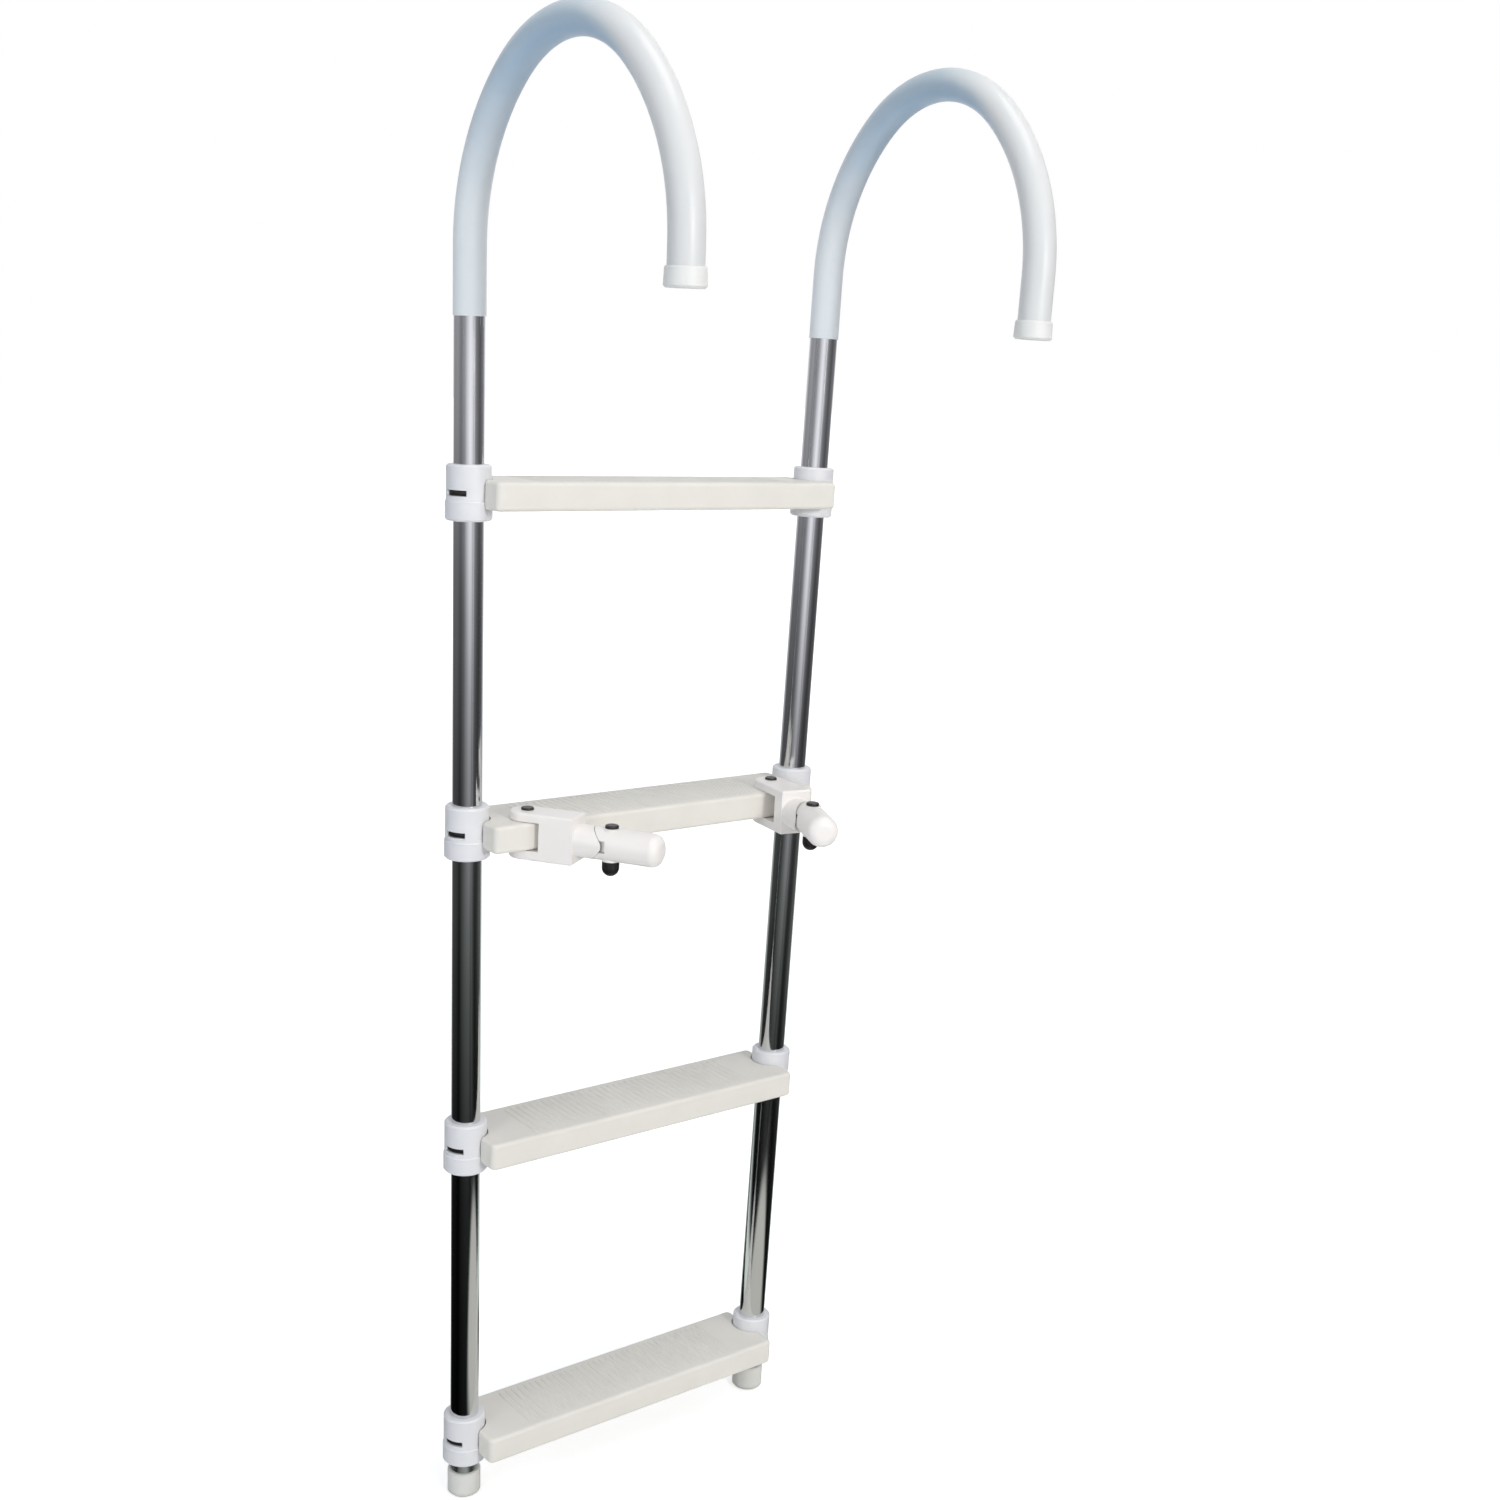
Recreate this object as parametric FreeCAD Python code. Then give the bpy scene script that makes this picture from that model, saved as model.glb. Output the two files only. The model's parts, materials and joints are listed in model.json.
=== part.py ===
"""Portable boarding ladder for a small boat.

Two round tubes are each bent over at the top into a hook that hangs on the boat's side.
The tubes come a little closer together towards the foot. Four moulded steps run between
them, each held by a collar at both ends. Two jointed stand-off arms are pinned through the
second step and keep the ladder off the hull.

Millimetres, +Z up, +X to the right of someone who looks from the boat at the ladder.
The hooks reach towards -Y. The origin is where the ladder hangs: midway between the two
hooks, at the underside of their crowns.
"""
import FreeCAD, Part
import math
import os
from FreeCAD import Vector

os.makedirs("parts", exist_ok=True)

# Rails: one tube each, with its hook
tube_diameter = 24.0
tube_wall = 1.6
top_step_spacing = 345.5
bottom_step_spacing = 314.5
top_step_drop = 320.0
step_rise = 270.0
step_count = 4
foot_drop = 54.0

# Hooks: an arc at each side of a tighter crown arc
hook_span = 254.0
hook_height = 148.6
hook_side_turn = 50.0
hook_drop_left = 30.0
hook_drop_right = 47.0
hook_turn_left = 3.6
hook_turn_right = 1.5

# Vinyl sleeve and end cap of each hook
sleeve_wall = 0.65
sleeve_run_on_rail = 52.0
hook_cap_height = 14.0
hook_cap_wall = 2.2
hook_cap_floor = 3.0
hook_cap_flare = 0.5
hook_cap_edge = 1.5
slip_clearance = 0.05

# Tips under the rails
foot_cap_height = 22.0
foot_cap_wall = 2.1
foot_cap_floor = 5.0
foot_cap_edge = 2.0
foot_cap_lip = 1.0

# Collars that hold the steps to the rails
collar_height = 43.0
collar_wall = 5.55
collar_ring_height = 15.5
collar_ring_step = 0.8
collar_chamfer = 1.4
collar_slot_height = 4.6
collar_slot_depth = 3.4
collar_slot_half_angle = 30.0
collar_slot_bearing = 65.0
spigot_length = 26.0
spigot_width = 26.0
spigot_height = 12.0
spigot_root = 1.5

# Steps
tread_front = 38.0
tread_back = 30.5
tread_height = 22.6
tread_drop = 0.7
tread_end_reach = 4.0
tread_edge_round = 3.0
tread_corner_round = 5.0
tread_joint_clearance = 0.3
tread_pocket_count = 5
tread_pocket_depth = 12.0
tread_rib = 5.0
tread_skirt = 5.0

# Stand-off arms, pinned through one step
standoff_step = 2
standoff_inset = 42.0
standoff_setback = 15.5
shoulder_left = 35.0
shoulder_right = 9.0
shoulder_outward = 0.0
shoulder_inward = 40.0
arm_length = 73.0
arm_width = 28.0
arm_plate_top = 7.0
arm_plate_bottom = 8.0
arm_plate_clearance = 0.5
arm_box_gap = 28.0
arm_neck_gap = 4.5
arm_edge_round = 2.0

# Pads at the ends of the arms
elbow_left = -3.0
elbow_right = 17.0
pad_diameter = 27.0
pad_axis = -1.8
pad_reach = 44.0
pad_end_round = 8.0
pad_boss_radius = 7.2
pad_seat_clearance = 0.6
tongue_height = 9.0
tongue_radius = 11.0
tongue_neck = 12.0
tongue_clearance = 0.4

# Pins, bolts and nuts of the arms
pin_radius = 4.0
pin_head_radius = 5.2
pin_head_height = 2.0
bolt_radius = 3.0
bolt_head_radius = 5.5
bolt_head_height = 2.6
nut_radius = 7.0
nut_height = 12.5
turning_clearance = 0.1

tube_radius = tube_diameter / 2.0
fitted_radius = tube_radius + slip_clearance
sleeve_radius = fitted_radius + sleeve_wall
collar_radius = fitted_radius + collar_wall
ring_radius = collar_radius + collar_ring_step
bend_z = sleeve_radius - hook_height
rail_y = hook_span / 2.0
step_z = [-top_step_drop - step_rise * k for k in range(step_count)]
foot_z = step_z[-1] - foot_drop
tube_foot_z = foot_z + foot_cap_floor
rail_lean = math.atan2((top_step_spacing - bottom_step_spacing) / 2.0, step_z[0] - step_z[-1])
tread_top = tread_height / 2.0 - tread_drop
tread_bottom = tread_top - tread_height
arm_top = tread_top + arm_plate_clearance + arm_plate_top
arm_bottom = tread_bottom - arm_plate_clearance - arm_plate_bottom
pad_radius = pad_diameter / 2.0
pad_top = pad_axis + pad_radius
pad_bottom = pad_axis - pad_radius
tongue_top = pad_axis + tongue_height / 2.0
tongue_bottom = tongue_top - tongue_height
sides = {"left": -1.0, "right": 1.0}
hook_drop = {"left": hook_drop_left, "right": hook_drop_right}
hook_turn = {"left": hook_turn_left, "right": hook_turn_right}
shoulder = {"left": shoulder_left, "right": shoulder_right}
elbow = {"left": elbow_left, "right": elbow_right}
ORIGIN = Vector(0, 0, 0)
UP = Vector(0, 0, 1)
RIGHT = Vector(1, 0, 0)
BACK = Vector(0, 1, 0)


def save(name, shape):
    solids = shape.Solids
    if len(solids) != 1 or not shape.isValid():
        raise ValueError("%s is not one valid solid" % name)
    solids[0].exportStep("parts/%s.step" % name)


def cylinder(radius, bottom, top):
    return Part.makeCylinder(radius, top - bottom, Vector(0, 0, bottom))


def ring(outer, inner, bottom, top):
    return cylinder(outer, bottom, top).cut(cylinder(inner, bottom, top))


def block(low_x, high_x, low_y, high_y, low_z, high_z):
    return Part.makeBox(high_x - low_x, high_y - low_y, high_z - low_z, Vector(low_x, low_y, low_z))


def turned(profile):
    """Spin a closed outline of (radius, height) points about the vertical axis."""
    points = [Vector(r, 0, z) for r, z in profile]
    wire = Part.makePolygon(points + points[:1])
    return Part.Face(wire).revolve(ORIGIN, UP, 360)


def level_edges(shape, z):
    """Edges of a shape that lie flat at height z."""
    flat = 1e-6
    return [e for e in shape.Edges if abs(e.BoundBox.ZMin - z) < flat and abs(e.BoundBox.ZMax - z) < flat]


def rail_x(z):
    """Distance of a rail's axis from the middle of the ladder at height z."""
    return bottom_step_spacing / 2.0 + (z - step_z[-1]) * math.tan(rail_lean)


def lean(shape, side):
    """Lean a shape made upright round the origin as that rail leans."""
    leaned = shape.copy()
    leaned.rotate(ORIGIN, BACK, sides[side] * math.degrees(rail_lean))
    return leaned


def to_rail(shape, side, z=0.0):
    """Move a shape made round the origin to where its rail's axis passes height z."""
    moved = shape.copy()
    moved.translate(Vector(sides[side] * rail_x(z), rail_y, z))
    return moved


def hook_arcs():
    """Centre and turn of the three arcs of a hook, from the rail to its free end."""
    turn = math.radians(hook_side_turn)
    half_span = hook_span / 2.0
    offset = (hook_height - half_span) / (math.sin(turn) + math.cos(turn) - 1.0)
    side_radius = half_span + offset * math.cos(turn)
    crown_centre = Vector(0, -half_span, bend_z + offset * math.sin(turn))
    return [(Vector(0, -side_radius, bend_z), hook_side_turn),
            (crown_centre, 180.0 - 2.0 * hook_side_turn),
            (Vector(0, side_radius - hook_span, bend_z), hook_side_turn)]


def hook_pipe(outer, inner, low_z, free_z, side):
    """A pipe up the rail from low_z, over the bend and down the free leg to free_z."""
    section = Part.Face([Part.Wire(Part.makeCircle(outer, Vector(0, 0, bend_z))),
                         Part.Wire(Part.makeCircle(inner, Vector(0, 0, bend_z)))])
    runs = []
    for centre, turn in hook_arcs():
        runs.append(section.revolve(centre, RIGHT, turn))
        section.rotate(centre, RIGHT, turn)
    leg = ring(outer, inner, free_z, bend_z)
    leg.translate(Vector(0, -hook_span, 0))
    pipe = ring(outer, inner, low_z, bend_z).fuse(runs + [leg]).removeSplitter()
    return hang(pipe, side)


def hang(shape, side):
    """Turn a piece of the hook about its rail and put it in place."""
    turned_in = shape.copy()
    turned_in.rotate(ORIGIN, UP, -sides[side] * hook_turn[side])
    return to_rail(lean(turned_in, side), side)


def free_end(side):
    """Height of the tube's end in the hook's cap."""
    return bend_z - hook_drop[side] + hook_cap_floor


def rail_tube(side):
    return hook_pipe(tube_radius, tube_radius - tube_wall, tube_foot_z, free_end(side), side)


def hook_sleeve(side):
    start = bend_z - sleeve_run_on_rail
    end = bend_z - hook_drop[side] + hook_cap_height
    return hook_pipe(sleeve_radius, fitted_radius, start, end, side)


def hook_cap(side):
    outer = fitted_radius + hook_cap_wall
    bottom = bend_z - hook_drop[side]
    top = bottom + hook_cap_height - slip_clearance
    seat = bottom + hook_cap_floor
    flared = outer + hook_cap_flare
    cap = turned([(0, bottom), (flared - hook_cap_edge, bottom), (flared, bottom + hook_cap_edge),
                  (outer, top - hook_cap_edge), (outer - hook_cap_flare, top), (fitted_radius, top),
                  (fitted_radius, seat), (0, seat)])
    cap.translate(Vector(0, -hook_span, 0))
    return hang(cap, side)


def foot_cap(side):
    outer = fitted_radius + foot_cap_wall
    top = foot_z + foot_cap_height
    cap = turned([(0, foot_z), (outer - foot_cap_edge, foot_z), (outer, foot_z + foot_cap_edge),
                  (outer, top - foot_cap_lip), (outer - foot_cap_lip, top), (fitted_radius, top),
                  (fitted_radius, tube_foot_z), (0, tube_foot_z)])
    return to_rail(lean(cap, side), side)


def collar(side, z):
    """Ring round the rail with a slotted upper tier and a level spigot into the step."""
    half = collar_height / 2.0
    ring_top = collar_ring_height - half
    body = turned([(0, -half), (ring_radius - collar_chamfer, -half), (ring_radius, collar_chamfer - half),
                   (ring_radius, ring_top - collar_ring_step), (collar_radius, ring_top),
                   (collar_radius, half - collar_chamfer), (collar_radius - collar_chamfer, half), (0, half)])
    slot_half = collar_slot_height / 2.0
    slot_rim = 2.0 * ring_radius
    sector = Part.makeCylinder(slot_rim, collar_slot_height, Vector(0, 0, -slot_half), UP,
                               2.0 * collar_slot_half_angle)
    sector = sector.cut(cylinder(collar_radius - collar_slot_depth, -slot_half, slot_half))
    front = 270.0
    sector.rotate(ORIGIN, UP, front + sides[side] * collar_slot_bearing - collar_slot_half_angle)
    body = lean(body.cut(sector), side)
    root = fitted_radius + spigot_root
    low_x, high_x = sorted((-sides[side] * root, -sides[side] * (root + spigot_length)))
    spigot = block(low_x, high_x, -spigot_width / 2.0, spigot_width / 2.0,
                   -spigot_height / 2.0, spigot_height / 2.0)
    bore = lean(cylinder(fitted_radius, -collar_height, collar_height), side)
    return to_rail(body.fuse(spigot).removeSplitter().cut(bore), side, z)


def tread(number):
    """Moulded board whose forked ends take the collars and their spigots."""
    z = step_z[number - 1]
    end_x = rail_x(z) - tread_end_reach
    body = block(-end_x, end_x, -tread_front, tread_back, tread_bottom, tread_top)
    corners = [e for e in body.Edges if e.BoundBox.ZLength > tread_height / 2.0]
    body = body.makeFillet(tread_corner_round, corners)
    body = body.makeFillet(tread_edge_round, level_edges(body, tread_top) + level_edges(body, tread_bottom))
    gap = tread_joint_clearance
    socket_end = rail_x(z) - fitted_radius - spigot_root - spigot_length - gap
    for side, sign in sides.items():
        notch = lean(cylinder(ring_radius + gap, -collar_height, collar_height), side)
        notch.translate(Vector(sign * rail_x(z), 0, 0))
        low_x, high_x = sorted((sign * socket_end, sign * rail_x(z)))
        socket = block(low_x, high_x, -spigot_width / 2.0 - gap, spigot_width / 2.0 + gap,
                       -spigot_height / 2.0 - gap, spigot_height / 2.0 + gap)
        body = body.cut(notch).cut(socket)
        if number == standoff_step:
            pin_hole = cylinder(pin_radius + turning_clearance, tread_bottom, tread_top)
            pin_hole.translate(Vector(sign * pin_x(), pin_y(), 0))
            body = body.cut(pin_hole)
    pocket_end = socket_end - tread_rib
    if number == standoff_step:
        pocket_end = min(pocket_end, pin_x() - pin_radius - tread_rib)
    pitch = (2.0 * pocket_end + tread_rib) / tread_pocket_count
    for k in range(tread_pocket_count):
        low_x = pitch * k - pocket_end
        pocket = block(low_x, low_x + pitch - tread_rib, tread_skirt - tread_front, tread_back - tread_skirt,
                       tread_bottom, tread_bottom + tread_pocket_depth)
        body = body.cut(pocket)
    body.translate(Vector(0, rail_y, z))
    return body


def pin_x():
    """Distance of a shoulder pin from the middle of the ladder."""
    return rail_x(step_z[standoff_step - 1]) - standoff_inset


def pin_y():
    """Place of a shoulder pin, from the rails' axes."""
    return standoff_setback - tread_front


def bar(start, end):
    """Round bar of the pad's size that runs towards -Y."""
    return Part.makeCylinder(pad_radius, end - start, Vector(0, -start, pad_axis), -BACK)


def standoff_arm():
    """Box whose forked end straddles the step, with a round neck and a tongue at its far end.

    It is drawn for the left side, where inboard is +X.
    """
    half = arm_width / 2.0
    box_end = arm_length - arm_box_gap
    box = block(-half, half, -box_end, 0, arm_bottom, arm_top)
    box = box.fuse(cylinder(half, arm_bottom, arm_top)).removeSplitter()
    box = box.makeFillet(arm_edge_round, level_edges(box, arm_top) + level_edges(box, arm_bottom))
    reach = 2.0 * arm_length
    for turn in (-shoulder_outward, shoulder_inward):
        throat = block(-reach, reach, -standoff_setback - arm_plate_clearance, reach,
                       tread_bottom - arm_plate_clearance, tread_top + arm_plate_clearance)
        throat.rotate(ORIGIN, UP, -turn)
        box = box.cut(throat)
    neck_end = arm_length - arm_neck_gap
    seat = cylinder(pad_radius + pad_seat_clearance, pad_bottom, pad_top)
    seat.translate(Vector(0, -arm_length, 0))
    neck = bar(box_end - arm_edge_round, neck_end).cut(seat)
    tongue = cylinder(tongue_radius, tongue_bottom, tongue_top)
    tongue.translate(Vector(0, -arm_length, 0))
    web = block(-tongue_neck / 2.0, tongue_neck / 2.0, -arm_length, arm_edge_round - box_end,
                tongue_bottom, tongue_top)
    pin_hole = cylinder(pin_radius + slip_clearance, arm_bottom, arm_top)
    bolt_hole = cylinder(bolt_radius + turning_clearance, tongue_bottom, tongue_top)
    bolt_hole.translate(Vector(0, -arm_length, 0))
    return box.fuse([neck, tongue, web]).removeSplitter().cut(pin_hole).cut(bolt_hole)


def standoff_pin():
    shank = cylinder(pin_radius, arm_bottom, arm_top)
    head = cylinder(pin_head_radius, arm_top, arm_top + pin_head_height)
    tail = cylinder(pin_head_radius, arm_bottom - pin_head_height, arm_bottom)
    pin = shank.fuse([head, tail]).removeSplitter()
    return pin.makeFillet(pin_head_height / 2.0, level_edges(pin, arm_top + pin_head_height))


def standoff_pad():
    """Round bar that bears on the hull, slit at its near end for the arm's tongue."""
    pad = bar(-pad_radius, pad_reach)
    near = 0.01
    far_rim = [edge for edge in pad.Edges if abs(edge.CenterOfMass.y + pad_reach) < near]
    pad = pad.makeFillet(pad_end_round, far_rim)
    outline = cylinder(pad_radius, pad_bottom, pad_top)
    outline = outline.fuse(block(-pad_radius, pad_radius, -pad_reach, 0, pad_bottom, pad_top))
    pad = pad.common(outline).fuse(cylinder(pad_boss_radius, pad_bottom, pad_top)).removeSplitter()
    low = tongue_bottom - tongue_clearance
    high = tongue_top + tongue_clearance
    slit = block(-pad_diameter, pad_diameter, 0, pad_diameter, low, high)
    slit = slit.fuse(cylinder(tongue_radius + tongue_clearance, low, high))
    return pad.cut(slit).cut(cylinder(bolt_radius + slip_clearance, pad_bottom, pad_top))


def elbow_bolt():
    shank = cylinder(bolt_radius, pad_bottom - nut_height / 2.0, pad_top)
    head = cylinder(bolt_head_radius, pad_top, pad_top + bolt_head_height)
    head = head.makeFillet(bolt_head_height / 2.0, level_edges(head, pad_top + bolt_head_height))
    return shank.fuse(head).removeSplitter()


def elbow_nut():
    """Domed nut under the pad."""
    bottom = pad_bottom - nut_height
    dome_start = bottom + nut_radius
    body = cylinder(nut_radius, dome_start, pad_bottom)
    nut = body.fuse(Part.makeSphere(nut_radius, Vector(0, 0, dome_start))).removeSplitter()
    nut = nut.common(block(-nut_radius, nut_radius, -nut_radius, nut_radius, bottom, pad_bottom))
    return nut.cut(cylinder(bolt_radius + slip_clearance, pad_bottom - nut_height / 2.0, pad_bottom))


def place_arm(shape, side):
    """Turn a piece of the arm about the shoulder pin and put it on its step."""
    placed = shape.copy()
    if side == "right":
        placed = placed.mirror(ORIGIN, RIGHT)
    placed.rotate(ORIGIN, UP, -sides[side] * shoulder[side])
    placed.translate(Vector(sides[side] * pin_x(), rail_y + pin_y(), step_z[standoff_step - 1]))
    return placed


def place_pad(shape, side):
    """Turn a piece of the pad about the elbow bolt, then carry it with the arm."""
    placed = shape.copy()
    placed.rotate(ORIGIN, UP, elbow[side])
    placed.translate(Vector(0, -arm_length, 0))
    return place_arm(placed, side)


for side in sides:
    save("rail_tube_%s" % side, rail_tube(side))
    save("hook_sleeve_%s" % side, hook_sleeve(side))
    save("hook_cap_%s" % side, hook_cap(side))
    save("foot_cap_%s" % side, foot_cap(side))
    for number, z in enumerate(step_z, start=1):
        save("collar_%d_%s" % (number, side), collar(side, z))
    save("standoff_arm_%s" % side, place_arm(standoff_arm(), side))
    save("standoff_pin_%s" % side, place_arm(standoff_pin(), side))
    save("standoff_pad_%s" % side, place_pad(standoff_pad(), side))
    save("elbow_bolt_%s" % side, place_pad(elbow_bolt(), side))
    save("elbow_nut_%s" % side, place_pad(elbow_nut(), side))
for number in range(1, step_count + 1):
    save("tread_%d" % number, tread(number))
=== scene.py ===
# %% [markdown]
# # A portable boat ladder, made cell by cell
#
# This ladder hangs over the side of a small boat by two round hooks. Two bright tubes carry
# four moulded steps, and two jointed arms on the second step keep it off the hull.
# Its solid pieces come ready made, each under its own name, in metres. The cells below light
# them, give each one its finish, and add the fine relief that the solids leave out.

# %% Load the ladder
import json
import math

import bpy
from mathutils import Matrix, Vector


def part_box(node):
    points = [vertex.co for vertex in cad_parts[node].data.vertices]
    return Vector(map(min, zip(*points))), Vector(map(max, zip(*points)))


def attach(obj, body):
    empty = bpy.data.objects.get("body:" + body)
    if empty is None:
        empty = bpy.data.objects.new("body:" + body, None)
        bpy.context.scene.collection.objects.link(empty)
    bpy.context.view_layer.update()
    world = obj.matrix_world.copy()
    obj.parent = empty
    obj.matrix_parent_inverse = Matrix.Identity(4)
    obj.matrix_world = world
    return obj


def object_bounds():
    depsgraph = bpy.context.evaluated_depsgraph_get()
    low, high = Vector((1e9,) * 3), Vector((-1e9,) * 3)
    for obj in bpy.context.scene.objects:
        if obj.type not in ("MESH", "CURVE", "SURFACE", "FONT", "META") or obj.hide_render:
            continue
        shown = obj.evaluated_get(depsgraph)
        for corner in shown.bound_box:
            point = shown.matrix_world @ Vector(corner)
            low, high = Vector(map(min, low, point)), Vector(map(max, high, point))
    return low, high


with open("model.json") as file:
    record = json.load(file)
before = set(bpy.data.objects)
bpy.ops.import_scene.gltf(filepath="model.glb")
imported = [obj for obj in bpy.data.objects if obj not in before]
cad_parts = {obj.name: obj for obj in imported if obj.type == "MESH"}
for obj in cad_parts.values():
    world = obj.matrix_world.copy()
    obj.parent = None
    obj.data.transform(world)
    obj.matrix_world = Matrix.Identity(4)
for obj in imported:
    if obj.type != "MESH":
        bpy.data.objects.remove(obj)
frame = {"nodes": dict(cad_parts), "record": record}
solids = frame["nodes"]
cad_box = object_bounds()

# %% [markdown]
# ## Camera
#
# The picture was taken from the boat's side, a little left of the ladder and at the height of
# the hooks, with the camera tipped down and slightly turned on its axis. A camera could be
# aimed at a point with a constraint, but then its small roll would be lost, so its three axes
# are worked out from the angles instead.

# %% Place the camera
camera_place = Vector((-0.8921, -1.1351, -0.2091))
camera_heading = math.radians(38.674)
camera_tip = math.radians(11.877)
camera_roll = math.radians(3.099)
camera_lens = 44.457
camera_sensor = 36.0


def camera_axes(heading, tip, roll):
    """The camera's right, up and back directions."""
    forward = Vector((
        math.sin(heading) * math.cos(tip),
        math.cos(heading) * math.cos(tip),
        -math.sin(tip),
    ))
    level_right = Vector((math.cos(heading), -math.sin(heading), 0.0))
    level_up = level_right.cross(forward)
    right = math.cos(roll) * level_right + math.sin(roll) * level_up
    up = math.cos(roll) * level_up - math.sin(roll) * level_right
    return right, up, -forward


camera_data = bpy.data.cameras.new("camera")
camera_data.lens = camera_lens
camera_data.sensor_width = camera_sensor
camera = bpy.data.objects.new("camera", camera_data)
bpy.context.scene.collection.objects.link(camera)
turn = Matrix(camera_axes(camera_heading, camera_tip, camera_roll)).transposed()
camera.matrix_world = Matrix.Translation(camera_place) @ turn.to_4x4()
bpy.context.scene.camera = camera
print(f"the camera is {camera_place.length:.2f} m from the top of the ladder")

# %% [markdown]
# ## Writing a node tree as sums
#
# Materials, the world's light and repeated shapes are all trees of nodes. Placing each node by
# hand makes long scripts, so one small class stands for a wire and knows how to add, subtract,
# multiply and divide, and another makes any other node with its settings and its inputs.

# %% A wire and a tree
class Wire:
    """The output of a node. Sums on it add Math nodes to its tree."""

    def __init__(self, tree, socket):
        self.tree = tree
        self.socket = socket

    def sum(self, operation, *values):
        return self.tree.node("ShaderNodeMath", {"operation": operation}, dict(enumerate(values)))

    def __add__(self, other):
        return self.sum("ADD", self, other)

    def __radd__(self, other):
        return self.sum("ADD", other, self)

    def __sub__(self, other):
        return self.sum("SUBTRACT", self, other)

    def __rsub__(self, other):
        return self.sum("SUBTRACT", other, self)

    def __mul__(self, other):
        return self.sum("MULTIPLY", self, other)

    def __rmul__(self, other):
        return self.sum("MULTIPLY", other, self)

    def __truediv__(self, other):
        return self.sum("DIVIDE", self, other)

    def __pow__(self, other):
        return self.sum("POWER", self, other)


class Tree:
    """A node tree that is filled from code."""

    def __init__(self, tree):
        self.tree = tree
        tree.nodes.clear()

    def node(self, kind, settings, inputs, output=0):
        """Adds a node. Its settings come first, then the values or wires of its inputs."""
        made = self.tree.nodes.new(kind)
        for name, value in settings.items():
            if name == "stops":
                self.set_stops(made.color_ramp, value)
            else:
                setattr(made, name, value)
        for name, value in inputs.items():
            if isinstance(value, Wire):
                self.tree.links.new(value.socket, made.inputs[name])
            else:
                made.inputs[name].default_value = value
        if not made.outputs:
            return made
        return Wire(self, made.outputs[output])

    def set_stops(self, ramp, stops):
        """Gives a ramp its (place, colour) stops."""
        while len(ramp.elements) < len(stops):
            ramp.elements.new(1.0)
        for element, (place, colour) in zip(ramp.elements, stops):
            element.position = place
            element.color = (*colour, 1.0)

    def greys(self, value, pairs, low, high):
        """Greys from (place, brightness) pairs, with the places from low to high as 0 to 1."""
        stops = [((place - low) / (high - low), (bright,) * 3) for place, bright in pairs]
        return self.node("ShaderNodeValToRGB", {"stops": stops}, {0: value})

    def ramp(self, value, low, high):
        """0 below low, 1 above high, and smooth between."""
        settings = {"interpolation_type": "SMOOTHSTEP"}
        return self.node("ShaderNodeMapRange", settings, {"Value": value, 1: low, 2: high})

    def mix(self, share, first, second):
        """From the first colour to the second."""
        colours = [c if isinstance(c, Wire) else (*c, 1.0) for c in (first, second)]
        inputs = {0: share, 6: colours[0], 7: colours[1]}
        return self.node("ShaderNodeMix", {"data_type": "RGBA"}, inputs, output=2)


# %% [markdown]
# ## Room and light
#
# The ladder was shown against plain white. A white backdrop that lights the object would wash
# out its shape, so the room is only white where the camera or a reflection looks at it, and its
# light is softer and a little cool. The floor is pale and keeps the ladder's own soft shadow.

# %% The room's light
room_light = 0.50
room_tint = (0.93, 0.965, 1.0)
background_white = (1.0, 1.0, 1.0)


def seen_directly(tree):
    """1 for rays from the camera and for rays that a shiny or clear surface sends on."""
    seen = tree.node("ShaderNodeLightPath", {}, {}, output="Is Camera Ray")
    shiny = tree.node("ShaderNodeLightPath", {}, {}, output="Is Glossy Ray")
    clear = tree.node("ShaderNodeLightPath", {}, {}, output="Is Transmission Ray")
    return seen.sum("MAXIMUM", seen.sum("MAXIMUM", seen, shiny), clear)


world = bpy.data.worlds.new("room")
world.use_nodes = True
room = Tree(world.node_tree)
direct = seen_directly(room)
room_colour = room.mix(direct, room_tint, background_white)
room_strength = room_light + direct * (1.0 - room_light)
room_shader = room.node("ShaderNodeBackground", {}, {0: room_colour, 1: room_strength})
room.node("ShaderNodeOutputWorld", {}, {"Surface": room_shader})
bpy.context.scene.world = world
bpy.context.scene.view_settings.view_transform = "Standard"
print(f"the room gives {room_light:.2f} of full light")

# %% The floor
floor_reach = 30.0
floor_gap = 0.0005
floor_colour = (0.86, 0.86, 0.86)
floor_glow = 0.53
floor_glow_far = 0.95
floor_glow_reach = (1.0, 5.0)


def new_piece(name, mesh):
    """An object at the origin that shows the mesh."""
    piece = bpy.data.objects.new(name, mesh)
    bpy.context.scene.collection.objects.link(piece)
    return piece


def flat_sheet(name, corners):
    """A single face through the corners."""
    mesh = bpy.data.meshes.new(name)
    mesh.from_pydata(corners, [], [tuple(range(len(corners)))])
    return new_piece(name, mesh)


floor_height = cad_box[0].z - floor_gap
floor = flat_sheet("floor", [
    (-floor_reach, -floor_reach, floor_height),
    (floor_reach, -floor_reach, floor_height),
    (floor_reach, floor_reach, floor_height),
    (-floor_reach, floor_reach, floor_height),
])
floor_finish = bpy.data.materials.new("pale_floor")
floor_finish.use_nodes = True
floor_tree = Tree(floor_finish.node_tree)
floor_place = floor_tree.node("ShaderNodeTexCoord", {}, {}, output="Object")
floor_distance = floor_tree.node(
    "ShaderNodeVectorMath", {"operation": "LENGTH"}, {0: floor_place}, output="Value")
far_away = floor_tree.ramp(floor_distance, *floor_glow_reach)
glow = floor_glow + far_away * (floor_glow_far - floor_glow)
floor_matte = floor_tree.node("ShaderNodeBsdfDiffuse", {}, {"Color": (*floor_colour, 1.0)})
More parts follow.
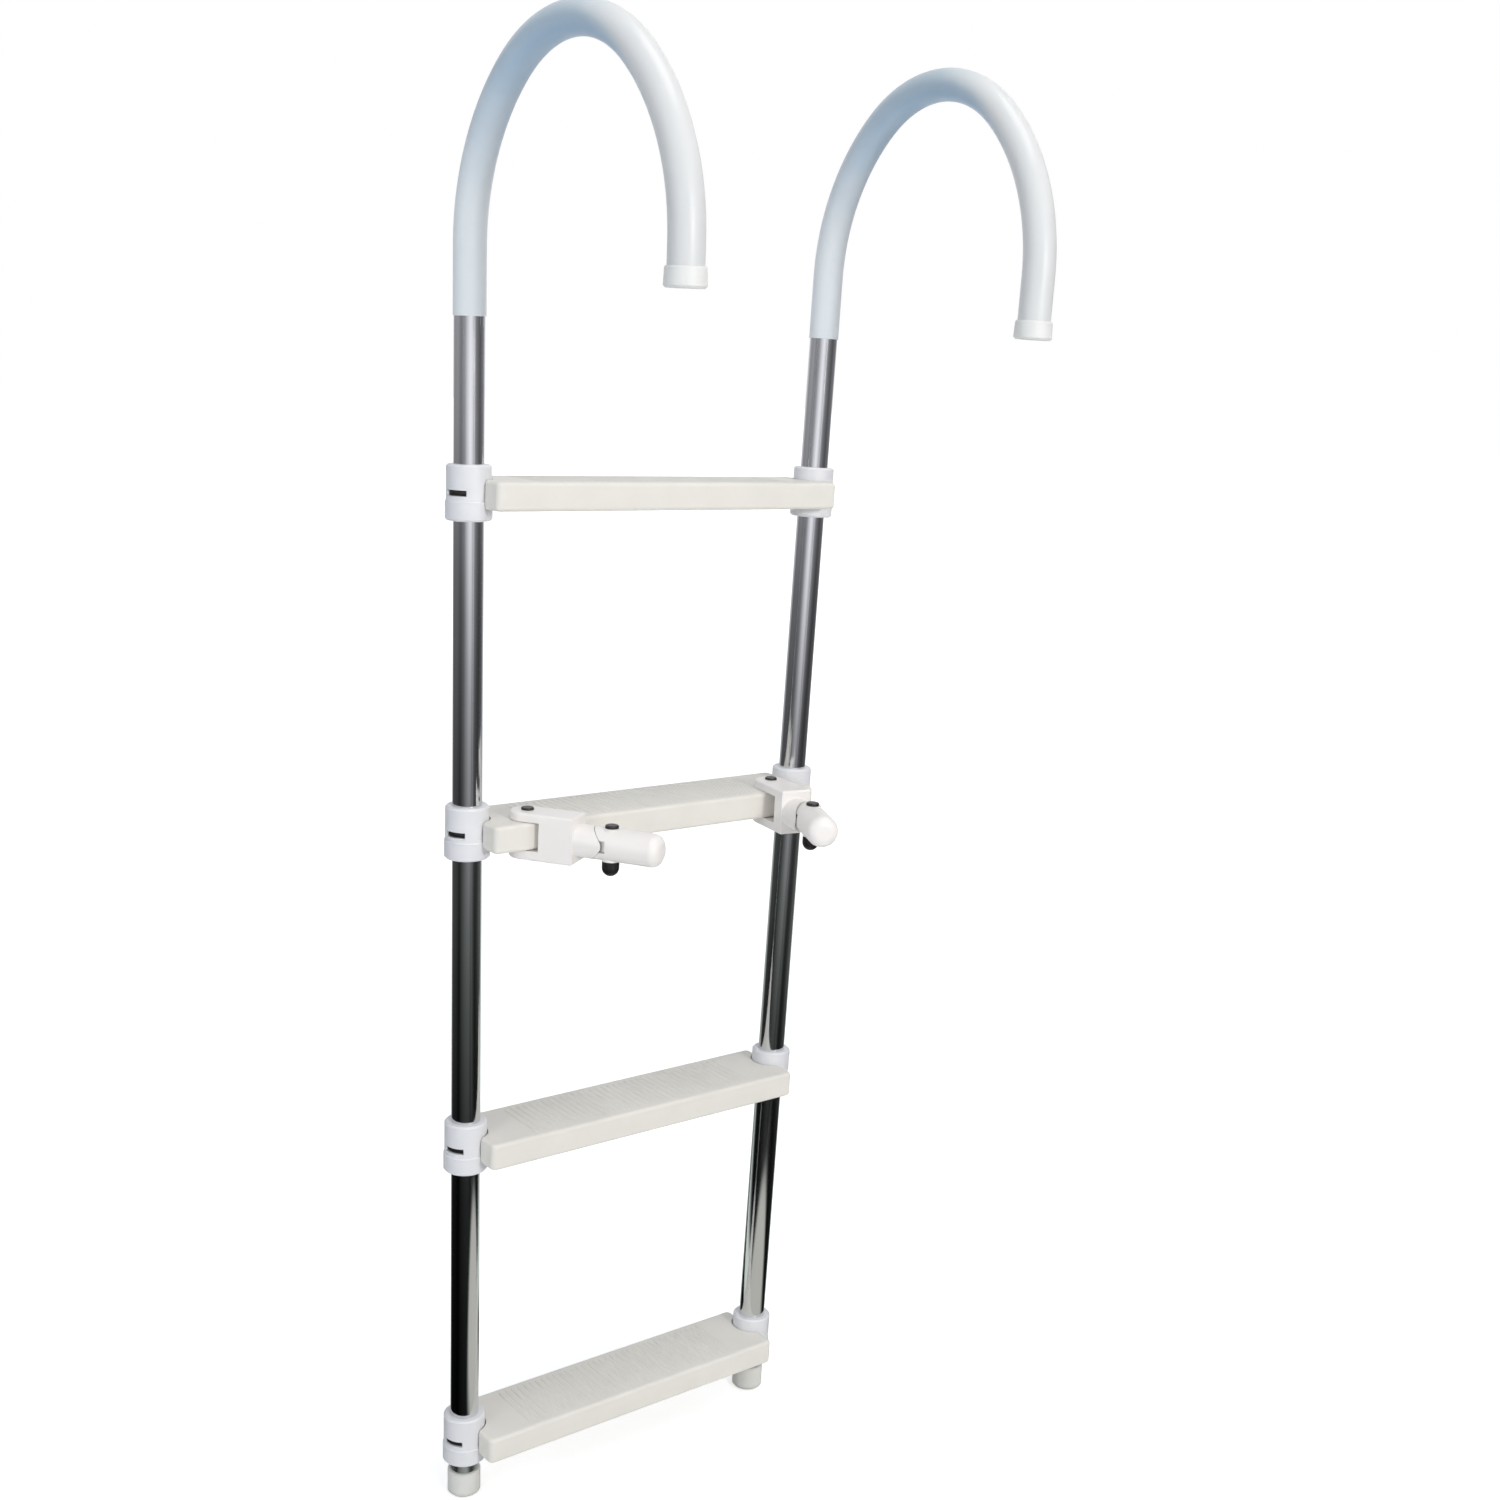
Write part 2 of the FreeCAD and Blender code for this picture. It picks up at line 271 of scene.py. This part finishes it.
floor_white = floor_tree.node(
    "ShaderNodeEmission", {},
    {"Color": (1.0, 1.0, 1.0, 1.0), "Strength": seen_directly(floor_tree) * glow},
)
floor_shader = floor_tree.node("ShaderNodeAddShader", {}, {0: floor_matte, 1: floor_white})
floor_tree.node("ShaderNodeOutputMaterial", {}, {"Surface": floor_shader})
floor.data.materials.append(floor_finish)
print(f"the floor is at {floor_height:.4f} m")

# %% [markdown]
# ## Lamps
#
# Three lamps shape the round pieces. The main one is small and slightly warm, beyond the
# camera's right shoulder, so that the arms throw a crisp shadow on their step. A cooler one
# from the left keeps the shaded sides bluish, and a broad one above lights the tops.

# %% Three lamps
ladder_middle = Vector((0.0, 0.1, -0.55))


def soft_lamp(name, place, size, power, colour):
    """A square lamp that faces the middle of the ladder."""
    data = bpy.data.lights.new(name, "AREA")
    data.shape = "SQUARE"
    data.size = size
    data.energy = power
    data.color = colour
    lamp = bpy.data.objects.new(name, data)
    lamp.location = place
    lamp.rotation_euler = (ladder_middle - Vector(place)).to_track_quat("-Z", "Y").to_euler()
    bpy.context.scene.collection.objects.link(lamp)


soft_lamp("main_lamp", place=(0.0, -3.6, 0.45), size=0.45, power=55.0, colour=(1.0, 0.975, 0.94))
soft_lamp("side_lamp", place=(-3.2, -0.9, 0.3), size=1.4, power=22.0, colour=(0.84, 0.92, 1.0))
soft_lamp("top_lamp", place=(0.2, -0.7, 2.4), size=1.6, power=28.0, colour=(1.0, 0.985, 0.96))

# %% [markdown]
# ## What the tubes reflect
#
# A polished tube has no look of its own: it shows what stands round it. In an all white room
# it would vanish, so a photographer puts grey screens round it and a dark mat before it. A
# round screen and a mat that only reflections see do the same here. Both are brightest behind
# the camera and dark to its right, and they fade towards the ladder's foot, which gives the
# tubes their bands, their light streaks and their dark lower ends. Beyond the ladder they glow
# at every height, so that the tubes' edges melt into the backdrop.

# %% Screen and mat
screen_distance = 1.7
screen_top = 0.5
screen_sides = 96
mat_gap = 0.0002
mat_height = floor_height + mat_gap
brightest = 1.1
upper_tint = (0.955, 0.945, 1.0)
lower_tint = (0.93, 1.0, 0.95)
foot_low, foot_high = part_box("foot_cap_right")
foot_middle = (foot_low + foot_high) / 2.0
toward_camera = math.atan2(camera_place.y - foot_middle.y, camera_place.x)

# Brightness by direction, in degrees to the right of the camera as the ladder sees it
upper_round = [(-180, 0.24), (-126, 0.32), (-84, 0.37), (-52, 0.20), (-27, 0.31), (-6, 0.74),
               (14, 1.0), (28, 0.80), (42, 0.27), (60, 0.17), (84, 0.10), (120, 0.22), (180, 0.24)]
lower_round = [(-180, 0.30), (-126, 0.40), (-84, 0.28), (-52, 0.05), (-27, 0.55), (0, 0.90),
               (25, 1.0), (45, 0.30), (60, 0.10), (84, 0.35), (110, 0.90), (180, 0.30)]

# Brightness by the way out along the mat and then up the screen, in metres
way_out = [(0.0, 0.40), (0.06, 0.30), (0.09, 0.006), (0.3, 0.010), (0.6, 0.020), (0.85, 0.050),
           (1.26, 0.10), (1.76, 0.18), (2.1, 0.40), (2.34, 0.80), (2.52, 1.0)]
whole_way = 2.6

# Way out over which the lower directions give over to the upper ones, in metres
lower_to_upper = (1.2, 2.2)

# Glow beyond the ladder, which sets in over these degrees away from the camera
behind_turn = (125.0, 168.0)
behind_glow = 0.75

# Pale floor close in front of the steps, which the lowest part of the tubes picks up
patch_place = (0.08, -0.13, mat_height)
patch_edge = (0.20, 0.30)
patch_glow = 0.54
patch_tint = (1.0, 0.98, 0.91)


def surround_finish():
    """A glowing sheet, brightness painted by direction and by way out from the nearer rail."""
    material = bpy.data.materials.new("surround")
    material.use_nodes = True
    tree = Tree(material.node_tree)
    place = tree.node("ShaderNodeTexCoord", {}, {}, output="Object")
    x, y, z = (tree.node("ShaderNodeSeparateXYZ", {}, {0: place}, output=name) for name in "XYZ")
    out_x = x - x.sum("SIGN", x) * foot_middle.x
    out_y = y - foot_middle.y
    bearing = x.sum("ARCTAN2", out_y, out_x) - toward_camera
    share = x.sum("WRAP", bearing, math.pi, -math.pi) / math.tau + 0.5
    way = x.sum("SQRT", out_x * out_x + out_y * out_y) + z - floor_height
    upper = tree.greys(share, upper_round, -180.0, 180.0)
    lower = tree.greys(share, lower_round, -180.0, 180.0)
    fade = tree.greys(way / whole_way, way_out, 0.0, whole_way)
    height = tree.ramp(way, *lower_to_upper)
    from_patch = tree.node("ShaderNodeVectorMath", {"operation": "DISTANCE"},
                           {0: place, 1: patch_place}, output="Value")
    patch = 1.0 - tree.ramp(from_patch, *patch_edge)
    turn = share.sum("ABSOLUTE", share - 0.5) * 360.0
    behind = tree.ramp(turn, *behind_turn) * behind_glow
    strength = tree.mix(height, lower, upper) * fade * brightest + patch * patch_glow + behind
    tint = tree.mix(patch, tree.mix(height, lower_tint, upper_tint), patch_tint)
    glow = tree.node("ShaderNodeEmission", {}, {"Color": tint, "Strength": strength})
    tree.node("ShaderNodeOutputMaterial", {}, {"Surface": glow})
    return material


def round_points(height):
    """Points of the screen's ring at that height."""
    turns = [math.tau * i / screen_sides for i in range(screen_sides)]
    return [(screen_distance * math.cos(t), screen_distance * math.sin(t), height) for t in turns]


def hide_from_all_but_reflections(piece):
    """Leaves a stage piece visible only in shiny surfaces."""
    piece.visible_camera = False
    piece.visible_diffuse = False
    piece.visible_transmission = False
    piece.visible_volume_scatter = False
    piece.visible_shadow = False


screen_mesh = bpy.data.meshes.new("screen")
screen_mesh.from_pydata(round_points(mat_height) + round_points(screen_top), [], [
    (i, (i + 1) % screen_sides, (i + 1) % screen_sides + screen_sides, i + screen_sides)
    for i in range(screen_sides)
])
surround = surround_finish()
for piece in (new_piece("screen", screen_mesh), flat_sheet("mat", round_points(mat_height))):
    piece.data.materials.append(surround)
    hide_from_all_but_reflections(piece)
print(f"the screen stands {screen_distance:.1f} m away")

# %% [markdown]
# ## Finishes
#
# Every finish follows the same plan: a colour that drifts a little, a gloss that is never
# quite even, and a fine relief. They read the position on the piece itself, so the pattern
# stays put when an arm swings.

# %% What all finishes share
class Finish(Tree):
    """A material built round one Principled shader."""

    def __init__(self, name):
        self.material = bpy.data.materials.new(name)
        self.material.use_nodes = True
        super().__init__(self.material.node_tree)
        self.place = self.node("ShaderNodeTexCoord", {}, {}, output="Object")

    def noise(self, size, detail=2.0, stretch=(1.0, 1.0, 1.0)):
        """Cloudy values from 0 to 1 with patches of about that size in metres."""
        scale = tuple(s / size for s in stretch)
        place = self.node("ShaderNodeMapping", {}, {"Vector": self.place, "Scale": scale})
        inputs = {"Vector": place, "Scale": 1.0, "Detail": detail}
        return self.node("ShaderNodeTexNoise", {}, inputs)

    def axis(self, name):
        """One coordinate of the place on the piece."""
        return self.node("ShaderNodeSeparateXYZ", {}, {0: self.place}, output=name)

    def relief(self, height, depth):
        """A normal that follows a height of 0 to 1, over that depth in metres."""
        inputs = {"Height": height, "Distance": depth, "Strength": 1.0}
        return self.node("ShaderNodeBump", {}, inputs)

    def done(self, inputs):
        shader = self.node("ShaderNodeBsdfPrincipled", {}, inputs)
        self.node("ShaderNodeOutputMaterial", {}, {"Surface": shader})
        return self.material


# %% [markdown]
# ## Bright tube
#
# The rails are drawn aluminium tube, polished and clear anodised. Drawing leaves hair-fine
# lines along the tube, and handling leaves faint cloudy smudges. Both mostly change how sharp
# a reflection is, so they go into the roughness first and only slightly into the relief.

# %% The rail metal
def rail_finish():
    finish = Finish("rail_metal")
    lines = finish.noise(size=0.0006, detail=3.0, stretch=(1.0, 1.0, 0.012))
    smudges = finish.noise(size=0.035, detail=4.0, stretch=(1.0, 1.0, 0.45))
    colour = finish.mix(smudges, (0.70, 0.72, 0.73), (0.80, 0.81, 0.82))
    rough = 0.06 + smudges * 0.07 + lines * 0.05
    return finish.done({
        "Base Color": colour,
        "Metallic": 1.0,
        "Roughness": rough,
        "Normal": finish.relief(lines, depth=0.00001),
    })


# %% [markdown]
# ## Vinyl of the hooks
#
# The hooks wear a dipped or pushed-on vinyl skin so they don't scratch the boat. It is satin
# and softly uneven like orange peel. It is white on the free legs. The rail-side leg has a
# painted cool shade in its white, and over the rail side of the bend the colour turns to a
# painted blue shade, deepest as a painted shadow on the inside of the crown. How far inside a
# place lies is read from an ellipse that follows the hook.

# %% The sleeve and cap vinyl
hook_half_span = 0.127
hook_rise = 0.1486
hook_bend_z = -0.1359
free_leg_white = (0.67, 0.68, 0.685)
# The rail-side leg's cooler white and both blues are painted shade, the inner blue a painted
# shadow inside the crown.
rail_leg_shaded_white = (0.76, 0.80, 0.83)
outer_painted_shade = (0.46, 0.55, 0.62)
inner_painted_shade = (0.35, 0.49, 0.64)

# Where one colour gives over to the next: on the ellipse, which is 1 along the hook's axis, and
# then in metres on the piece
inner_to_outer = (0.92, 1.06)
free_to_rail_leg = (-0.09, 0.12)
legs_to_bend = (-0.10, 0.035)
white_to_painted_shade = (-0.05, 0.02)


def sleeve_finish():
    finish = Finish("sleeve_vinyl")
    peel = finish.noise(size=0.0016, detail=2.0)
    waves = finish.noise(size=0.028, detail=2.0)
    y = finish.axis("Y")
    z = finish.axis("Z")
    across = y / hook_half_span
    up = (z - hook_bend_z) / hook_rise
    ellipse = y.sum("SQRT", across * across + up * up)
    # Painted shade: blue over the rail side of the bend, deepest inside the crown, and a cooler
    # white on the rail-side leg.
    inside = 1.0 - finish.ramp(ellipse, *inner_to_outer)
    rail_side = finish.ramp(y + waves * 0.04, *free_to_rail_leg)
    white = finish.mix(rail_side, free_leg_white, rail_leg_shaded_white)
    painted_shade = finish.mix(inside, outer_painted_shade, inner_painted_shade)
    over_bend = finish.ramp(z + waves * 0.03, *legs_to_bend)
    towards_rail = finish.ramp(y + inside * 0.06 + waves * 0.02, *white_to_painted_shade)
    return finish.done({
        "Base Color": finish.mix(over_bend * towards_rail, white, painted_shade),
        "Roughness": 0.34 + waves * 0.14,
        "Coat Weight": 0.2,
        "Normal": finish.relief(peel * 0.3 + waves, depth=0.0002),
    })


def cap_finish():
    finish = Finish("cap_vinyl")
    peel = finish.noise(size=0.0012, detail=2.0)
    clouds = finish.noise(size=0.012, detail=3.0)
    return finish.done({
        "Base Color": finish.mix(clouds, (0.72, 0.72, 0.71), (0.78, 0.78, 0.765)),
        "Roughness": 0.42 + clouds * 0.14,
        "Normal": finish.relief(peel, depth=0.00008),
    })


# %% [markdown]
# ## Moulded pieces
#
# Collars, steps and arms are injection moulded. The collars came out glossy and faintly
# lavender, the arms warmer, and the steps cream with a fine spark-eroded grain from the mould.
# One function makes all three, because they differ only in colour, gloss and grain.

# %% The moulded plastics
def moulded_finish(name, shade, light, rough, grain_size, grain_depth):
    finish = Finish(name)
    grain = finish.noise(size=grain_size, detail=2.0)
    clouds = finish.noise(size=0.030, detail=4.0)
    flow = finish.noise(size=0.010, detail=2.0, stretch=(0.25, 1.0, 1.0))
    return finish.done({
        "Base Color": finish.mix(clouds, shade, light),
        "Roughness": rough + clouds * 0.10 + flow * 0.06,
        "Coat Weight": 0.08,
        "Normal": finish.relief(grain + flow * 0.4, grain_depth),
    })


def foot_finish():
    """Matte rubbery tips, greyed a little towards the sole."""
    finish = Finish("foot_rubber")
    grain = finish.noise(size=0.0009, detail=2.0)
    clouds = finish.noise(size=0.008, detail=4.0)
    above_floor = finish.axis("Z") - cad_box[0].z
    # Darker in cloudy patches over the lowest 6 mm, towards the sole.
    darker_near_sole = (1.0 - finish.ramp(above_floor, 0.0, 0.006)) * clouds
    clean = finish.mix(clouds, (0.66, 0.655, 0.62), (0.72, 0.71, 0.68))
    return finish.done({
        "Base Color": finish.mix(darker_near_sole, clean, (0.38, 0.37, 0.35)),
        "Roughness": 0.62 + clouds * 0.15,
        "Normal": finish.relief(grain, depth=0.00008),
    })


def fastener_finish():
    """Steel blackened in hot salts: dark, oily, and a little brown where it thins."""
    finish = Finish("fastener_metal")
    patches = finish.noise(size=0.0022, detail=4.0)
    return finish.done({
        "Base Color": finish.mix(patches, (0.030, 0.030, 0.033), (0.085, 0.078, 0.072)),
        "Metallic": 0.85,
        "Roughness": 0.30 + patches * 0.25,
        "Normal": finish.relief(patches, depth=0.00003),
    })


finishes = {
    "rail_metal": rail_finish(),
    "sleeve_vinyl": sleeve_finish(),
    "cap_vinyl": cap_finish(),
    "foot_rubber": foot_finish(),
    "collar_plastic": moulded_finish(
        "collar_plastic", shade=(0.70, 0.70, 0.73), light=(0.77, 0.77, 0.79),
        rough=0.26, grain_size=0.0010, grain_depth=0.00004),
    "tread_plastic": moulded_finish(
        "tread_plastic", shade=(0.73, 0.70, 0.65), light=(0.79, 0.765, 0.71),
        rough=0.46, grain_size=0.0007, grain_depth=0.00009),
    "standoff_plastic": moulded_finish(
        "standoff_plastic", shade=(0.84, 0.80, 0.775), light=(0.89, 0.855, 0.83),
        rough=0.30, grain_size=0.0009, grain_depth=0.00005),
    "fastener_metal": fastener_finish(),
}
print(f"{len(finishes)} finishes")

# %% [markdown]
# ## Dressing the solids
#
# The record says which finish each piece has, so no list of names is kept here. The solids'
# own shapes stay as they are, and only the finish in their first slot changes.

# %% Give each solid its finish
for part in frame["record"]["subparts"]:
    solid = solids[part["node"]]
    solid.data.materials.clear()
    solid.data.materials.append(finishes[part["material_slot"]])

# %% [markdown]
# ## Non-skid ribs
#
# The top of each step has low ribs from front to back, about 6 mm apart, so that a wet foot
# holds. Modelling forty bars for each step by hand would be slow to change. A Geometry Nodes
# tree makes one bar as a swept curve with rounded ends and sets a copy on each point of a
# line. Its sizes are named inputs, so all four steps share it.

# %% The tree that makes the ribs
def named_inputs(group, names):
    """Declares number inputs on a node group."""
    for name in names:
        group.interface.new_socket(name=name, in_out="INPUT", socket_type="NodeSocketFloat")
    group.interface.new_socket(name="Shape", in_out="OUTPUT", socket_type="NodeSocketGeometry")


rib_sizes = ("Run", "Pitch", "Rib Length", "Rib Width", "Rib Height", "Middle Y", "Top Z")
rib_rings = 11
rib_sides = 8
rib_tip = 0.35
rib_tip_sharpness = 30.0


def rib_tree(material):
    group = bpy.data.node_groups.new("non_skid_ribs", "GeometryNodeTree")
    named_inputs(group, rib_sizes)
    tree = Tree(group)
    size = {name: tree.node("NodeGroupInput", {}, {}, output=name) for name in rib_sizes}
    spine = tree.node("GeometryNodeCurvePrimitiveLine", {},
                      {"Start": (0, -1, 0), "End": (0, 1, 0)})
    spine = tree.node("GeometryNodeResampleCurve", {}, {"Curve": spine, "Count": rib_rings})
    share = tree.node("GeometryNodeInputIndex", {}, {}) / (rib_rings - 1)
    along = -1.0 * share.sum("COSINE", share * math.pi)
    half_length = size["Rib Length"] / 2.0
    point = tree.node("ShaderNodeCombineXYZ", {}, {"Y": along * half_length})
    spine = tree.node("GeometryNodeSetPosition", {}, {"Geometry": spine, "Position": point})
    away_from_tips = 1.0 - along.sum("ABSOLUTE", along) ** rib_tip_sharpness
    fullness = away_from_tips * (1.0 - rib_tip) + rib_tip
    profile = tree.node("GeometryNodeCurvePrimitiveCircle", {},
                        {"Resolution": rib_sides, "Radius": size["Rib Width"] / 2.0})
    bar = tree.node("GeometryNodeCurveToMesh", {}, {
        "Curve": spine,
        "Profile Curve": profile,
        "Scale": fullness,
        "Fill Caps": True,
    })
    flatten = tree.node("ShaderNodeCombineXYZ", {},
                        {"X": 1.0, "Y": 1.0, "Z": 2.0 * size["Rib Height"] / size["Rib Width"]})
    bar = tree.node("GeometryNodeTransform", {}, {"Geometry": bar, "Scale": flatten})
    count = share.sum("FLOOR", size["Run"] / size["Pitch"]) + 1.0
    start = tree.node("ShaderNodeCombineXYZ", {}, {
        "X": (count - 1.0) * size["Pitch"] / -2.0,
        "Y": size["Middle Y"],
        "Z": size["Top Z"],
    })
    stride = tree.node("ShaderNodeCombineXYZ", {}, {"X": size["Pitch"]})
    line = tree.node("GeometryNodeMeshLine", {},
                     {"Count": count, "Start Location": start, "Offset": stride})
    ribs = tree.node("GeometryNodeInstanceOnPoints", {}, {"Points": line, "Instance": bar})
    ribs = tree.node("GeometryNodeRealizeInstances", {}, {"Geometry": ribs})
    ribs = tree.node("GeometryNodeSetShadeSmooth", {}, {0: ribs})
    ribs = tree.node("GeometryNodeSetMaterial", {}, {"Geometry": ribs, "Material": material})
    tree.node("NodeGroupOutput", {}, {"Shape": ribs})
    return group


def grown(name, group, sizes):
    """Runs a tree with those sizes and keeps the result as a plain mesh."""
    piece = new_piece(name, bpy.data.meshes.new(name))
    modifier = piece.modifiers.new("shape", "NODES")
    modifier.node_group = group
    for item in group.interface.items_tree:
        if item.in_out == "INPUT":
            modifier[item.identifier] = sizes[item.name]
    evaluated = piece.evaluated_get(bpy.context.evaluated_depsgraph_get())
    mesh = bpy.data.meshes.new_from_object(evaluated)
    piece.modifiers.remove(modifier)
    piece.data = mesh
    return piece


# %% Ribs on each step
step_count = 4
rib_pitch = 0.0062
rib_width = 0.0032
rib_height = 0.0004
rib_edge_margin = 0.0065
rib_end_margin = 0.009
ribs_group = rib_tree(finishes["tread_plastic"])
for number in range(1, step_count + 1):
    low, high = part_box(f"tread_{number}")
    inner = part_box(f"collar_{number}_right")[0].x - rib_end_margin
    ribs = grown(f"tread_ribs_{number}", ribs_group, {
        "Run": 2.0 * inner,
        "Pitch": rib_pitch,
        "Rib Length": high.y - low.y - 2.0 * rib_edge_margin,
        "Rib Width": rib_width,
        "Rib Height": rib_height,
        "Middle Y": (low.y + high.y) / 2.0,
        "Top Z": high.z,
    })
    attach(ribs, "ladder")
    print(f"step {number}: {len(ribs.data.polygons)} faces of ribs")

# %% [markdown]
# ## Dark strips in the collar slots
#
# Each collar's slot shows dark. A dark steel strip bent round the rail sits in each slot as
# painted shade. A second tree bends a rounded strip round a rail and repeats it at every
# step. The slope of the rails is read from the outermost points of two collars.

# %% The tree that makes the bands
band_sizes = ("Radius", "Width", "Thickness", "Edge", "Start", "Sweep", "First X", "First Z", "Y",
              "Stride X", "Stride Z", "Lean")
band_corners = 25


def band_tree(material):
    group = bpy.data.node_groups.new("slot_shade_bands", "GeometryNodeTree")
    named_inputs(group, band_sizes)
    tree = Tree(group)
    size = {name: tree.node("NodeGroupInput", {}, {}, output=name) for name in band_sizes}
    bend = tree.node("GeometryNodeCurveArc", {}, {
        "Resolution": band_corners,
        "Radius": size["Radius"],
        "Start Angle": size["Start"],
        "Sweep Angle": size["Sweep"],
    })
    profile = tree.node("GeometryNodeCurvePrimitiveQuadrilateral", {},
                        {"Width": size["Thickness"], "Height": size["Width"]})
    profile = tree.node("GeometryNodeFilletCurve", {}, {"Curve": profile, "Radius": size["Edge"]})
    band = tree.node("GeometryNodeCurveToMesh", {},
                     {"Curve": bend, "Profile Curve": profile, "Fill Caps": True})
    first = tree.node("ShaderNodeCombineXYZ", {},
                      {"X": size["First X"], "Y": size["Y"], "Z": size["First Z"]})
    stride = tree.node("ShaderNodeCombineXYZ", {}, {"X": size["Stride X"], "Z": size["Stride Z"]})
    line = tree.node("GeometryNodeMeshLine", {},
                     {"Count": step_count, "Start Location": first, "Offset": stride})
    lean = tree.node("ShaderNodeCombineXYZ", {}, {"Y": size["Lean"]})
    bands = tree.node("GeometryNodeInstanceOnPoints", {},
                      {"Points": line, "Instance": band, "Rotation": lean})
    bands = tree.node("GeometryNodeRealizeInstances", {}, {"Geometry": bands})
    bands = tree.node("GeometryNodeSetMaterial", {}, {"Geometry": bands, "Material": material})
    tree.node("NodeGroupOutput", {}, {"Shape": bands})
    return group


# %% A band in each slot
band_radius = 0.0153
band_width = 0.0038
band_thickness = 0.0022
band_edge = 0.0004
straight_to_boat = math.radians(270.0)
band_bearing = math.radians(65.0)
band_half_sweep = math.radians(28.0)
# The dark strips are painted shade in the collars' slots.
bands_group = band_tree(finishes["fastener_metal"])
for side, sign in (("left", -1.0), ("right", 1.0)):
    lowest_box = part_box(f"collar_{step_count}_{side}")
    highest_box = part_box(f"collar_1_{side}")
    low_z = (lowest_box[0].z + lowest_box[1].z) / 2.0
    high_z = (highest_box[0].z + highest_box[1].z) / 2.0
    outermost = max if sign > 0.0 else min
    spread = outermost(c.x for c in highest_box) - outermost(c.x for c in lowest_box)
    slope = spread / (high_z - low_z)
    bands = grown(f"slot_shade_bands_{side}", bands_group, {
        "Radius": band_radius,
        "Width": band_width,
        "Thickness": band_thickness,
        "Edge": band_edge,
        "Start": straight_to_boat + sign * band_bearing - band_half_sweep,
        "Sweep": 2.0 * band_half_sweep,
        "First X": sign * foot_middle.x + (low_z - foot_middle.z) * slope,
        "First Z": low_z,
        "Y": foot_middle.y,
        "Stride X": spread / (step_count - 1),
        "Stride Z": (high_z - low_z) / (step_count - 1),
        "Lean": math.atan(slope),
    })
    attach(bands, "ladder")
    print(f"{side} bands: {len(bands.data.polygons)} faces")
